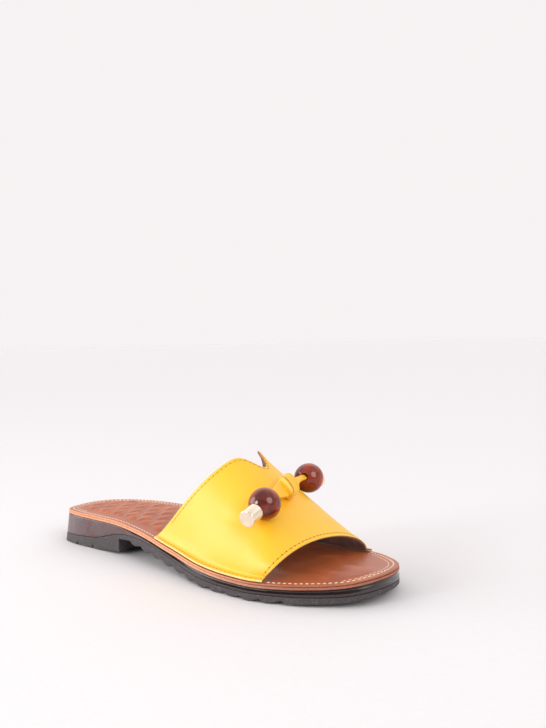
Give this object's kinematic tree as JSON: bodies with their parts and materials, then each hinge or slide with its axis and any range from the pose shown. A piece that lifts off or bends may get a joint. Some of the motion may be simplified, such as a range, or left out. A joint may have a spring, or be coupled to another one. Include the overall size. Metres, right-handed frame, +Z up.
{
  "type": "slide sandal",
  "caption": "Flat open-toe slide sandal with a wide leather vamp, a knotted leather tie ending in beads, a quilted leather insole and a lugged rubber sole.",
  "frame": {"origin": "on the floor under the middle of the heel seat", "axes": "+X towards the toe, +Y towards the inner side of the foot, +Z up"},
  "size_m": [0.2528, 0.0919, 0.0678],
  "materials": {
    "matte_rubber": "matte, finely stippled at the side",
    "glossy_tortoiseshell": "glossy, dark brown with reddish patches",
    "tan_insole_board": "cut edge, matte",
    "cognac_leather": "satin, quilted at the heel",
    "yellow_leather": "smooth, soft sheen, brown lining inside",
    "brown_resin": "polished",
    "pale_gold": "polished"
  },
  "bodies": {
    "root": {"outsole": "matte_rubber", "midsole": "glossy_tortoiseshell", "insole_board": "tan_insole_board", "insole": "cognac_leather", "upper": "yellow_leather", "tie": "yellow_leather", "bead_outer": "brown_resin", "bead_inner": "brown_resin", "ferrule_outer": "pale_gold", "ferrule_inner": "pale_gold"}
  },
  "joints": []
}
